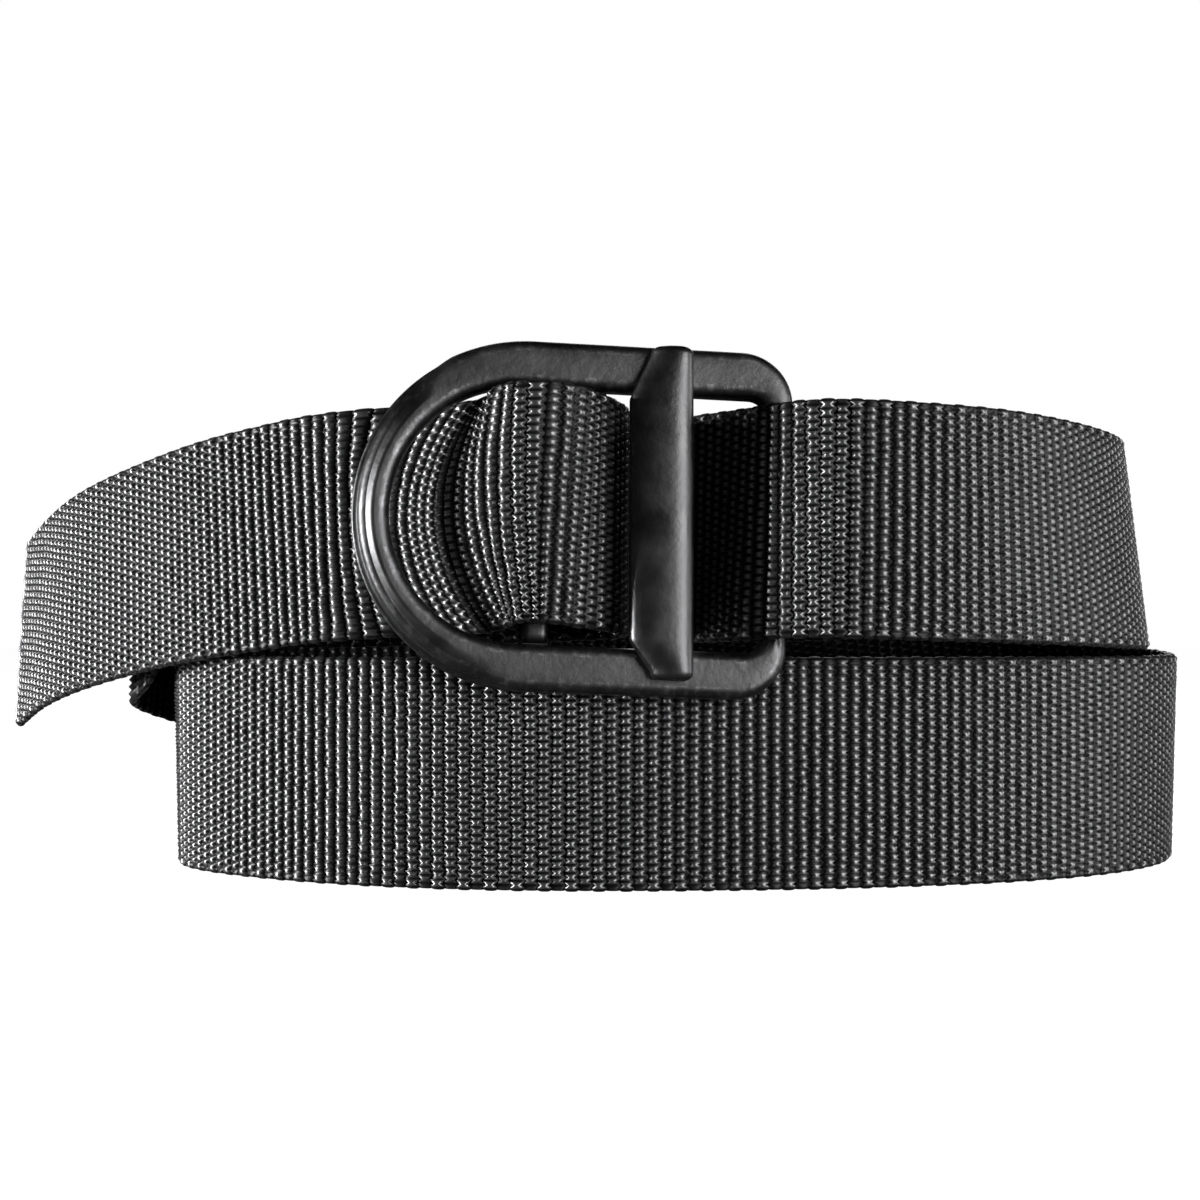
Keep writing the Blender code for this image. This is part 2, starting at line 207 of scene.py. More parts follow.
UPPER_LEFT_BEND = (
    Fold(-74.0, 82.8, 22.6, 1.0, 0.0),
    Fold(-84.0, 69.5, 26.2, 1.5, 0.0),
    Fold(-85.9, 57.5, 29.8, 1.5, 0.0),
    Fold(-82.7, 52.4, 34.5, 7.5, 0.0),
    Fold(-79.0, 48.8, 38.3, 12.5, 0.0),
    Fold(-74.6, 45.4, 39.4, 15.0, 0.0),
)
BEHIND_THE_TAIL = (
    Fold(-67.3, 39.6, 39.3, 15.0, 0.0),
    Fold(-53.0, 28.4, 39.3, 7.0, 0.0),
    Fold(-33.0, 19.0, 39.6, 0.0, 0.0),
    Fold(-14.0, 17.0, 40.2, 0.0, 0.0),
)
FOLD_ROUND_THE_INNER_BAR = (
    Fold(-3.0, 16.9, 40.6, 0.0, 0.0),
    Fold(2.4, 15.2, 40.9, 0.0, 0.0),
    Fold(4.0, 10.6, 41.2, 0.0, 0.0),
    Fold(2.9, 5.6, 41.6, -0.5, 0.0),
    Fold(1.1, 0.9, 42.0, -0.5, 0.0),
)
BULGE_IN_THE_WINDOW = (
    Fold(-1.6, -3.4, 42.4, 0.0, 0.0),
    Fold(-5.5, -6.8, 43.1, 1.0, 0.0),
    Fold(-10.7, -8.0, 43.5, 1.5, 0.6),
    Fold(-16.4, -6.4, 43.2, 0.5, 2.2),
    Fold(-22.0, -2.6, 42.2, -1.0, 5.6),
    Fold(-27.0, 1.9, 41.6, -1.0, 7.6),
)
UNDER_THE_ROUNDED_END = (
    Fold(-31.8, 6.2, 41.3, 0.0, 7.0),
    Fold(-38.5, 9.2, 41.0, 0.0, 3.0),
    Fold(-44.2, 11.4, 40.5, 0.0, 0.5),
)
TAIL = (
    Fold(-49.5, 14.4, 40.0, 0.0, 0.0),
    Fold(-57.0, 19.4, 39.0, -0.5, 0.0),
    Fold(-65.0, 25.4, 37.9, -1.0, 0.0),
    Fold(-83.6, 44.8, 34.5, -2.5, 0.0),
    Fold(-97.4, 60.8, 31.0, -4.0, 0.0),
    Fold(-108.0, 76.0, 27.0, -5.5, 0.0),
    Fold(-115.0, 88.0, 23.1, -6.0, 0.0),
)
WEBBING_WAY = (
    SEWN_FLAP
    + LOOP_ROUND_THE_RIGHT_BAR
    + UPPER_FRONT
    + UPPER_RIGHT_BEND
    + DOWN_ALONG_THE_BACK
    + LOWER_LEFT_BEND
    + LOWER_FRONT
    + LOWER_RIGHT_BEND
    + UP_ALONG_THE_BACK
    + UPPER_LEFT_BEND
    + BEHIND_THE_TAIL
    + FOLD_ROUND_THE_INNER_BAR
    + BULGE_IN_THE_WINDOW
    + UNDER_THE_ROUNDED_END
    + TAIL
)

# Stretches of webbing: ribs from the sewn end, and points to each pick on either face
Stretch = namedtuple("Stretch", "name first last left_points right_points")

STRETCHES = (
    Stretch("webbing_sewn_loop", 0, 48, 2, 4),
    Stretch("webbing_upper_front", 48, 90, 2, 4),
    Stretch("webbing_upper_back", 90, 190, 2, 2),
    Stretch("webbing_lower_front", 190, 296, 2, 4),
    Stretch("webbing_lower_back", 296, 400, 2, 2),
    Stretch("webbing_behind_tail", 400, 444, 2, 2),
    Stretch("webbing_bulge", 444, 482, 4, 2),
    Stretch("webbing_tail", 482, 525, 4, 2),
)

# Buckle ring, in its own plane: u to the right, v up, n to the front
RING_LENGTH = 70.2
RING_HEIGHT = 56.2
RING_THICKNESS = 5.0
WINDOW_HEIGHT = 41.2
ARC_WIDTH = 6.0
RIGHT_BAR_WIDTH = 4.0
OUTER_CORNER_RADIUS = 8.5
INNER_CORNER_RADIUS = 3.0
ARC_STEPS = 96
CORNER_STEPS = 16
LEG_STEPS = 14
BAR_STEPS = 6
FRONT_EDGE_RADIUS = 1.7
BACK_EDGE_RADIUS = 0.9
FRONT_CROWN = 0.06
FRONT_CROWN_AT = 0.12
EDGE_STEPS = 7
SMALL_EDGE_STEPS = 4

# Lip round the rounded end, over which angles in degrees, and the rim behind it
LIP_STEP = 0.95
LIP_GROOVE = 0.3
LIP_FROM = 118.0
LIP_TO = 268.0
LIP_FADE = 16.0
LIP_BACK = 0.1
LIP_WEAR = 0.2
GROOVE_FRONT = -0.25
GROOVE_BACK = -0.55
RIM_FRONT = -0.75
RIM_EDGE_RADIUS = 0.45

# Where the ring stands in the plan, and how it is turned
RING_X = -4.5
RING_Y = -0.4
RING_Z = 60.3
RING_YAW = math.radians(6)
RING_LEAN = math.radians(4.5)
RING_ROLL = math.radians(2.4)

# Crossbar, on the front of the legs
SEAT_GAP = 0.3
CROSSBAR_SKEW = math.radians(1.7)
CROSSBAR_RIGHT = 18.9
CROSSBAR_WIDTH = 10.0
CROSSBAR_END_WIDTH = 6.6
CROSSBAR_HEIGHT = 4.0
CROSSBAR_TOP = 27.6
CROSSBAR_BOTTOM = -25.6
CROSSBAR_TOP_TAPER = 8.5
CROSSBAR_BOTTOM_TAPER = 6.0
CROSSBAR_END_RADIUS = 1.3
CROSSBAR_END_LOWER = 0.8
CROSSBAR_END_WEAR = 0.7
CROSSBAR_END_TURNS = (0, 18, 36, 54, 72, 90)

# Share of the crossbar's width from its left edge, share of its height, and wear
CROSSBAR_PROFILE = (
    (0.0, 0.0, 0.0),
    (0.0, 0.3, 0.2),
    (0.0, 0.46, 0.8),
    (0.03, 0.58, 1.0),
    (0.09, 0.69, 0.5),
    (0.2, 0.8, 0.1),
    (0.32, 0.89, 0.0),
    (0.45, 0.95, 0.0),
    (0.57, 0.985, 0.0),
    (0.68, 1.0, 0.0),
    (0.78, 0.985, 0.1),
    (0.85, 0.945, 0.3),
    (0.91, 0.88, 0.3),
    (0.96, 0.79, 0.5),
    (0.985, 0.7, 1.0),
    (1.0, 0.58, 0.8),
    (1.0, 0.3, 0.1),
    (1.0, 0.0, 0.0),
)

# Bar between the legs, hidden in the photo
INNER_BAR_U = -5.2
INNER_BAR_N = -1.2
INNER_BAR_WIDTH = 4.2
INNER_BAR_DEPTH = 3.0
INNER_BAR_EDGE_RADIUS = 1.2
INNER_BAR_SECTIONS = 24

# Camera, in the plan: level, at the height of the upper turn's lower edge
CAMERA_Y = -350.0
CAMERA_Z = 40.8
CAMERA_LENS = 65.6
CAMERA_SENSOR = 36.0
CAMERA_SHIFT_UP = 0.0333
NEAREST_SEEN = 0.01


def linear(code):
    """An sRGB hex colour as a linear one with alpha."""
    shares = [int(code[i : i + 2], 16) / 255 for i in (1, 3, 5)]
    return (*[s / 12.92 if s <= 0.04045 else ((s + 0.055) / 1.055) ** 2.4 for s in shares], 1.0)


def node(tree, kind, inputs=None, **settings):
    """Adds a node with its settings, and the values or links of its inputs."""
    made = tree.nodes.new(kind)
    for name, value in settings.items():
        setattr(made, name, value)
    for name, value in (inputs or {}).items():
        socket = next(s for s in made.inputs if name in (s.identifier, s.name))
        if isinstance(value, bpy.types.NodeSocket):
            tree.links.new(value, socket)
        else:
            socket.default_value = value
    return made


def new_material(name, **values):
    """A material with one Principled shader, and the values that hold all over it."""
    made = bpy.data.materials.new(name)
    made.use_nodes = True
    shader = made.node_tree.nodes["Principled BSDF"]
    for key, value in values.items():
        shader.inputs[key.replace("_", " ")].default_value = value
    return made, made.node_tree, shader


def mixed(tree, share, first, second):
    """A colour between two others."""
    inputs = {"Factor_Float": share, "A_Color": first, "B_Color": second}
    made = node(tree, "ShaderNodeMix", inputs, data_type="RGBA")
    return next(socket for socket in made.outputs if socket.identifier == "Result_Color")


def smooth_slopes(along, values):
    """Slopes of a curve with even curvature through the values: a natural cubic spline."""
    count = len(values)
    gaps = np.diff(along)
    rises = np.diff(values) / gaps
    matrix = np.zeros((count, count))
    right = np.zeros(count)
    matrix[0, 0], matrix[0, 1], right[0] = 2, 1, 3 * rises[0]
    matrix[-1, -1], matrix[-1, -2], right[-1] = 2, 1, 3 * rises[-1]
    for i in range(1, count - 1):
        matrix[i, i - 1] = gaps[i]
        matrix[i, i] = 2 * (gaps[i - 1] + gaps[i])
        matrix[i, i + 1] = gaps[i - 1]
        right[i] = 3 * (gaps[i] * rises[i - 1] + gaps[i - 1] * rises[i])
    return np.linalg.solve(matrix, right)


def steady_slopes(along, values):
    """Slopes of a curve that never passes beyond the values on either side."""
    rises = np.diff(values) / np.diff(along)
    slopes = np.zeros(len(values))
    slopes[0], slopes[-1] = rises[0], rises[-1]
    for i in range(1, len(values) - 1):
        before, after = rises[i - 1], rises[i]
        if before * after > 0:
            slopes[i] = 2 * before * after / (before + after)
    return slopes


def curve_at(along, values, slopes, wanted):
    """The cubic curve with those values and slopes, at the wanted places."""
    i = np.clip(np.searchsorted(along, wanted, side="right") - 1, 0, len(along) - 2)
    gap = along[i + 1] - along[i]
    t = (wanted - along[i]) / gap
    start = (1 + 2 * t) * (1 - t) ** 2 * values[i] + t * (1 - t) ** 2 * gap * slopes[i]
    end = t**2 * (3 - 2 * t) * values[i + 1] + t**2 * (t - 1) * gap * slopes[i + 1]
    return start + end


def webbing_line():
    """Middle line, width direction, thickness direction and bow along the webbing, finely."""
    table = np.array(WEBBING_WAY, float)
    chords = np.hypot(*np.diff(table[:, :2], axis=0).T)
    along = np.concatenate([[0.0], np.cumsum(chords)])
    wanted = np.linspace(0.0, along[-1], int(along[-1] / FINE_STEP) + 1)
    x, y = (curve_at(along, c, smooth_slopes(along, c), wanted) for c in table.T[:2])
    low, lean, bow = (curve_at(along, c, steady_slopes(along, c), wanted) for c in table.T[2:])
    middle = np.stack([x, y, low + WEBBING_WIDTH / 2], 1)
    way = np.gradient(middle, axis=0)
    way /= np.linalg.norm(way, axis=1)[:, None]
    upright = np.array([0.0, 0.0, 1.0]) - TILT_WITH_SLOPE * way * way[:, 2:]
    upright /= np.linalg.norm(upright, axis=1)[:, None]
    left = np.cross(upright, way)
    left /= np.linalg.norm(left, axis=1)[:, None]
    tip = np.radians(lean)[:, None]
    width_way = np.cos(tip) * upright + np.sin(tip) * left
    thick_way = np.cross(width_way, way)
    thick_way /= np.linalg.norm(thick_way, axis=1)[:, None]
    return middle, width_way, thick_way, bow


def pick_relief(ribs, places, picks, seed):
    """Height, from 0 to 1, of rounded picks, staggered by half a pick on every second rib."""
    random = np.random.default_rng(seed)
    count = (RIBS + 1, PICKS_ACROSS + 2)
    fullness = random.uniform(LEAST_FULLNESS, MOST_FULLNESS, count)
    drift = random.uniform(-PICK_DRIFT, PICK_DRIFT, count)
    odd = (ribs % 2)[:, None]
    number = np.floor(picks[None, :] + 0.5 * odd).astype(int)
    across = np.mod(picks[None, :] + 0.5 * odd, 1.0) - 0.5
    along = places[:, None] - 0.5 - drift[ribs[:, None], number]
    edge = np.minimum(picks, PICKS_ACROSS - picks)[None, :]
    at_selvage = np.clip(SELVAGE_PICKS - edge, 0.0, 1.0)
    wider = np.where(odd, ODD_PICK_WIDER, EVEN_PICK_WIDER)
    half_width = PICK_HALF_WIDTH * (1 + wider * at_selvage)
    full = 1 - (along / half_width) ** 2 - (across / PICK_HALF_LENGTH) ** 2
    height = np.clip(full, 0.0, None) ** PICK_FLATNESS * fullness[ribs[:, None], number]
    height *= 1 - np.where(odd, ODD_PICK_LOWER, EVEN_PICK_LOWER) * at_selvage
    height[places == 0.0] = 0.0
    return height


def face_points(line, ribs, places, points_per_pick, side, seed):
    """One face of a stretch: its points, and its weave values for the material."""
    middle, width_way, thick_way, bow = line
    picks = np.arange(PICKS_ACROSS * points_per_pick + 1) / points_per_pick
    relief = pick_relief(ribs, places, picks, seed)
    way = np.cross(width_way, thick_way)
    # each pick is pointed at both ends and reaches between two picks of the next rib
    phase = picks[None, :] + 0.5 * (ribs % 2)[:, None]
    from_middle = np.sign(places - 0.5) * np.sqrt(np.abs(2 * places - 1))
    reach_on = -np.cos(2 * math.pi * phase) * from_middle[:, None] * PICK_POINT * RIB_PITCH
    reach = WEBBING_WIDTH / 2 - SELVAGE_MARGIN
    across = (picks / PICKS_ACROSS * 2 - 1) * reach
    core = WEBBING_THICKNESS / 2 - PICK_HEIGHT
    out = side * (core + relief * PICK_HEIGHT)
    points = middle[:, None] + width_way[:, None] * across[None, :, None]
    points = points + thick_way[:, None] * out[:, :, None] + way[:, None] * reach_on[:, :, None]
    points[:, :, 0] += bow[:, None] * (across / WEBBING_WIDTH * 2)[None, :] ** 2
    along = (ribs + places) * RIB_PITCH
    weave = np.stack(np.broadcast_arrays(along[:, None], across[None, :], relief), 2)
    return points, weave


def selvage_points(line, ribs, places, end):
    """One edge of a stretch, from the left face round to the right face."""
    middle, width_way, thick_way, bow = line
    reach = WEBBING_WIDTH / 2 - SELVAGE_MARGIN
    core = WEBBING_THICKNESS / 2 - PICK_HEIGHT
    swell = np.sqrt(np.clip(1 - ((places - 0.5) / 0.5) ** 2, 0.0, None))
    bulge = SELVAGE_BULGE * (swell * np.where(ribs % 2, ODD_RIB_BULGE, 1.0) - 1)
    angles = np.linspace(0, math.pi, SELVAGE_POINTS + 2)[1:-1]
    rows, weave = [], []
    for angle in angles:
        across = end * (reach + (SELVAGE_MARGIN + bulge) * math.sin(angle))
        out = math.cos(angle) * (core + SELVAGE_FULLNESS * swell)
        row = middle + width_way * across[:, None] + thick_way * out[:, None]
        row[:, 0] += bow * (across / WEBBING_WIDTH * 2) ** 2
        rows.append(row)
        weave.append(np.stack([(ribs + places) * RIB_PITCH, across, SELVAGE_RELIEF * swell], 1))
    return np.stack(rows, 1), np.stack(weave, 1)


def skin(name, points, ends, attributes):
    """A mesh over a grid of sections, closed around each one. Its ends join, are flat or open."""
    count, around = points.shape[:2]
    index = np.arange(count * around).reshape(count, around)
    one = index if ends == "join" else index[:-1]
    other = np.roll(index, -1, 0) if ends == "join" else index[1:]
    quads = np.stack([one, other, np.roll(other, -1, 1), np.roll(one, -1, 1)], 2).reshape(-1, 4)
    flat = [index[0], index[-1][::-1]] if ends == "flat" else []
    loops = np.concatenate([quads.ravel(), *flat])
    sizes = np.concatenate([np.full(len(quads), 4), [len(end) for end in flat]]).astype(int)
    starts = np.concatenate([[0], np.cumsum(sizes)[:-1]])
    shifted = (points.reshape(-1, 3) - (CENTRE_X, CENTRE_Y, 0.0)) * MM
    mesh = bpy.data.meshes.new(name)
    mesh.vertices.add(len(shifted))
    mesh.vertices.foreach_set("co", shifted.astype(np.float32).ravel())
    mesh.loops.add(len(loops))
    mesh.loops.foreach_set("vertex_index", loops.astype(np.int32))
    mesh.polygons.add(len(sizes))
    mesh.polygons.foreach_set("loop_start", starts.astype(np.int32))
    mesh.update(calc_edges=True)
    mesh.shade_smooth()
    for polygon in mesh.polygons[len(quads) :]:
        polygon.use_smooth = False
    for key, values in attributes.items():
        layer = mesh.attributes.new(key, "FLOAT_VECTOR", "POINT")
        layer.data.foreach_set("vector", values.astype(np.float32).ravel())
    mesh.validate()
    thing = bpy.data.objects.new(name, mesh)
    bpy.context.scene.collection.objects.link(thing)
    return thing


def stretch_of_webbing(stretch, fine, reached):
    """One stretch of the webbing, with its picks on both faces and its selvages."""
    ribs = np.repeat(np.arange(stretch.first, stretch.last), len(RIB_STATIONS))
    places = np.tile(RIB_STATIONS, stretch.last - stretch.first)
    ribs = np.append(ribs, stretch.last)
    places = np.append(places, 0.0)
    wanted = (ribs + places) / RIBS * reached[-1]
    line = [
        np.stack([np.interp(wanted, reached, c) for c in values.T], 1)
        if values.ndim == 2
        else np.interp(wanted, reached, values)
        for values in fine
    ]
    left, left_weave = face_points(line, ribs, places, stretch.left_points, 1, LEFT_FACE_SEED)
    right, right_weave = face_points(
        line, ribs, places, stretch.right_points, -1, RIGHT_FACE_SEED
    )
    top, top_weave = selvage_points(line, ribs, places, 1)
    low, low_weave = selvage_points(line, ribs, places, -1)
    points = np.concatenate([left, top, right[:, ::-1], low[:, ::-1]], 1)
    weave = np.concatenate(
        [left_weave, top_weave, right_weave[:, ::-1], low_weave[:, ::-1]], 1
    )
    width_way = np.broadcast_to(line[1][:, None], points.shape)
    kept = {"weave": weave.reshape(-1, 3), "width_way": width_way.reshape(-1, 3)}
    return skin(stretch.name, points, "open", kept)


def webbing(nylon):
    """The whole length of webbing, as stretches that meet between two ribs."""
    fine = webbing_line()
    steps = np.linalg.norm(np.diff(fine[0], axis=0), axis=1)
    reached = np.concatenate([[0.0], np.cumsum(steps)])
    for stretch in STRETCHES:
        piece = stretch_of_webbing(stretch, fine, reached)
        piece.data.materials.append(nylon)
        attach(piece, "root")
        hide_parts("webbing")


def ring_frame():
    """The buckle's own frame in the plan: its middle, and the directions u, v and n."""
    turn = (
        Matrix.Rotation(RING_YAW, 3, "Z")
        @ Matrix.Rotation(-RING_LEAN, 3, "X")
        @ Matrix.Rotation(RING_ROLL, 3, "Y")
    )
    return (
        np.array([RING_X, RING_Y, RING_Z]),
        np.array(turn.col[0]),
        np.array(turn.col[2]),
        -np.array(turn.col[1]),
    )


def in_plan(points):
    """Points of the buckle's own frame, in the plan."""
    middle, u_way, v_way, n_way = ring_frame()
    return middle + points @ np.stack([u_way, v_way, n_way])


def arc(centre, radius, first, last, steps):
    """Points of an arc, without its last one."""
    angles = np.radians(first + (last - first) * np.arange(steps) / steps)
    return np.stack([centre[0] + radius * np.cos(angles), centre[1] + radius * np.sin(angles)], 1)


def straight(first, last, steps):
    """Points of a straight stretch, without its last one."""
    share = (np.arange(steps) / steps)[:, None]
    return np.array(first) * (1 - share) + np.array(last) * share


def d_outline(left, right, half_height, corner):
    """A D on its back: rounded end to the left, two round corners to the right."""
    bend = (left + half_height, 0.0)
    low = (right - corner, corner - half_height)
    high = (right - corner, half_height - corner)
    return np.concatenate(
        [
            arc(bend, half_height, 90, 270, ARC_STEPS),
            straight((bend[0], -half_height), (low[0], -half_height), LEG_STEPS),
            arc(low, corner, -90, 0, CORNER_STEPS),
            straight((right, low[1]), (right, high[1]), BAR_STEPS),
            arc(high, corner, 0, 90, CORNER_STEPS),
            straight((high[0], half_height), (bend[0], half_height), LEG_STEPS),
        ]
    )


def corner_turn(middle, radius, first, last, steps):
    """Points of one rounded edge of a section, with how worn each is."""
    angles = np.radians(np.linspace(first, last, steps))
    return [
        (middle[0] + radius * math.cos(a), middle[1] + radius * math.sin(a), 1.0) for a in angles
    ]


def ring_section(width, lip):
    """The ring's section: rounded front, and a back rim that stands out beyond the lip."""
    half, deep = width / 2, RING_THICKNESS / 2
    front, back = FRONT_EDGE_RADIUS, BACK_EDGE_RADIUS
    outer = half - LIP_STEP * lip
    groove = outer - LIP_GROOVE * lip
    rim = RIM_EDGE_RADIUS
    crown_at, painted_crevice_shade = FRONT_CROWN_AT * width, deep + FRONT_CROWN
    few = SMALL_EDGE_STEPS
    points = corner_turn((front - half, deep - front), front, 180, 90, EDGE_STEPS)
    points += [(-crown_at, painted_crevice_shade, 0.0), (crown_at, painted_crevice_shade, 0.0)]
    points += corner_turn((outer - front, deep - front), front, 90, 0, EDGE_STEPS)
    points += [(outer, LIP_BACK, LIP_WEAR)]
    points += [(groove, GROOVE_FRONT, 0.0), (groove, GROOVE_BACK, 0.0)]
    points += corner_turn((half - rim, RIM_FRONT - rim), rim, 90, 0, few)
    points += corner_turn((half - back, back - deep), back, 0, -90, few)
    points += corner_turn((back - half, back - deep), back, -90, -180, few)
    return np.array(points)


def lip_share(u, v, bend):
    """How far the lip stands back from the rim, from 0 to 1, along the rounded end."""
    angle = np.degrees(np.arctan2(v, u - bend)) % 360
    inside = np.minimum(angle - LIP_FROM, LIP_TO - angle) / LIP_FADE
    return float(np.clip(inside, 0.0, 1.0))


def buckle_ring(steel):
    """The closed ring, with its lip and rim round the left end."""
    half = RING_LENGTH / 2
    outer = d_outline(-half, half, RING_HEIGHT / 2, OUTER_CORNER_RADIUS)
    inner = d_outline(
        ARC_WIDTH - half, half - RIGHT_BAR_WIDTH, WINDOW_HEIGHT / 2, INNER_CORNER_RADIUS
    )
    sections, worn = [], []
    for out, within in zip(outer, inner):
        across = out - within
        width = math.hypot(*across)
        lip = lip_share(*out, RING_HEIGHT / 2 - half)
        edge = ring_section(width, lip)
        places = (out + within) / 2 + np.outer(edge[:, 0], across / width)
        sections.append(in_plan(np.column_stack([places, edge[:, 1]])))
        worn.append(np.column_stack([edge[:, 2], edge[:, 1], np.full(len(edge), lip)]))
    piece = skin("steel_ring", np.array(sections), "join", {"wear": np.concatenate(worn)})
    finish_steel(piece, steel, "buckle_ring")


def crossbar_left(v):
    """The crossbar's left edge, drawn in at both ends."""
    wide = CROSSBAR_RIGHT - CROSSBAR_WIDTH
    narrow = CROSSBAR_RIGHT - CROSSBAR_END_WIDTH
    places = (
        CROSSBAR_BOTTOM,
        CROSSBAR_BOTTOM + CROSSBAR_END_RADIUS,
        CROSSBAR_BOTTOM + CROSSBAR_BOTTOM_TAPER,
        CROSSBAR_TOP - CROSSBAR_TOP_TAPER,
        CROSSBAR_TOP - CROSSBAR_END_RADIUS,
        CROSSBAR_TOP,
    )
    return float(np.interp(v, places, (narrow, narrow, wide, wide, narrow, narrow)))


def crossbar(steel):
    """The bar across the front of the legs, with a domed front and rounded ends."""
    base = RING_THICKNESS / 2 + SEAT_GAP
    radius = CROSSBAR_END_RADIUS
    turns = [radius * (1 - math.cos(math.radians(a))) for a in CROSSBAR_END_TURNS]
    low = CROSSBAR_BOTTOM + CROSSBAR_BOTTOM_TAPER
    high = CROSSBAR_TOP - CROSSBAR_TOP_TAPER
    # from, to and how many sections, closest where the left edge bends
    spans = (
        (CROSSBAR_BOTTOM + 2.2, low - 1.4, 3),
        (low - 0.6, low + 0.6, 4),
        (-14, 14, 8),
        (high - 0.6, high + 0.6, 4),
        (high + 1.6, CROSSBAR_TOP - 2.4, 4),
    )
    places = np.concatenate(
        [
            [CROSSBAR_BOTTOM + t for t in turns],
            *[np.linspace(*span) for span in spans],
            [CROSSBAR_TOP - t for t in turns[::-1]],
        ]
    )
    profile = np.array(CROSSBAR_PROFILE)
    sections, worn = [], []
    for v in places:
        from_end = min(v - CROSSBAR_BOTTOM, CROSSBAR_TOP - v)
        drawn = max(radius - from_end, 0.0)
        inset = radius - math.sqrt(radius**2 - drawn**2)
        left = crossbar_left(v) + inset
        right = CROSSBAR_RIGHT - inset
        height = CROSSBAR_HEIGHT - CROSSBAR_END_LOWER * inset
        skewed = -v * math.tan(CROSSBAR_SKEW)
        u = left + profile[:, 0] * (right - left) + skewed
        n = base + profile[:, 1] * height
        sections.append(in_plan(np.column_stack([u, np.full(len(u), v), n])))
        ends = np.full(len(u), drawn / radius)
        wear = np.maximum(profile[:, 2], CROSSBAR_END_WEAR * ends)
        worn.append(np.column_stack([wear, n, ends]))
    points = np.array(sections)[::-1]
    piece = skin("steel_crossbar", points, "flat", {"wear": np.concatenate(worn[::-1])})
    finish_steel(piece, steel, "crossbar")


def finish_steel(piece, steel, solid):
    """Gives a buckle piece its finish, and puts it in the place of its solid."""
    piece.data.materials.append(steel)
    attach(piece, "root")
    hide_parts(solid)


def black_nylon():
    """Solution-dyed nylon, woven from textured filament yarn.

    Each pick is a satin bundle of filaments that shines on its crown, and the ground
    between the picks is matt, its colour darkened nearly to black as painted shade.
    """
    made, tree, shader = new_material(
        "woven_black_nylon", Metallic=0.0, IOR=1.53, Anisotropic=0.6
    )
    # the filaments run along the strap, so a highlight spreads across it
    width_way = node(tree, "ShaderNodeAttribute", attribute_name="width_way").outputs["Vector"]
    tree.links.new(width_way, shader.inputs["Tangent"])
    weave = node(tree, "ShaderNodeAttribute", attribute_name="weave").outputs["Vector"]
    height = node(tree, "ShaderNodeSeparateXYZ", {"Vector": weave}).outputs["Z"]
    # bundles of filaments, drawn 0.35 mm wide, since the real 0.1 mm would be too fine to show
    filament_place = node(
        tree, "ShaderNodeMapping", {"Vector": weave, "Scale": FILAMENTS_PER_MM}
    ).outputs["Vector"]
    filaments = node(
        tree,
        "ShaderNodeTexNoise",
        {"Vector": filament_place, "Scale": 1.0, "Detail": 3.0, "Roughness": 0.6},
    ).outputs["Fac"]
    # dye and dust change slowly, over about 8 mm
    patch_place = node(
        tree, "ShaderNodeMapping", {"Vector": weave, "Scale": DUST_PER_MM}
    ).outputs["Vector"]
    patches = node(
        tree, "ShaderNodeTexNoise", {"Vector": patch_place, "Scale": 1.0, "Detail": 2.0}
    ).outputs["Fac"]
    # painted shade: a mask from the relief height, low in the hollows between picks and high on
    # the crowns
    painted_crevice_shade = node(
        tree,
        "ShaderNodeMapRange",
        {"Value": height, "From Min": 0.15, "From Max": 0.9},
        interpolation_type="SMOOTHSTEP",
    ).outputs["Result"]
    yarn = mixed(tree, filaments, linear("#0f0f10"), linear("#202022"))
    dusty = mixed(tree, patches, yarn, linear("#222223"))
    # painted shade: near-black colour in the hollows, the yarn colour on the crowns
    colour = mixed(tree, painted_crevice_shade, linear("#060606"), dusty)
    tree.links.new(colour, shader.inputs["Base Color"])
    rough = node(
        tree,
        "ShaderNodeMapRange",
        {"Value": filaments, "From Min": 0.3, "From Max": 0.7, "To Min": 0.36, "To Max": 0.46},
    ).outputs["Result"]
    tree.links.new(rough, shader.inputs["Roughness"])
    # the sides of a pick lie between its neighbours and catch little light
    shine = node(
        tree,
        "ShaderNodeMapRange",
        {"Value": height, "From Min": 0.6, "From Max": 0.86, "To Min": 0.1, "To Max": 1.0},
        interpolation_type="SMOOTHSTEP",
    ).outputs["Result"]
    tree.links.new(shine, shader.inputs["Specular IOR Level"])
    bump = node(
        tree,
        "ShaderNodeBump",
        {"Height": filaments, "Strength": 0.35, "Distance": FILAMENT_RELIEF * MM},
    ).outputs["Normal"]
    tree.links.new(bump, shader.inputs["Normal"])
    return made


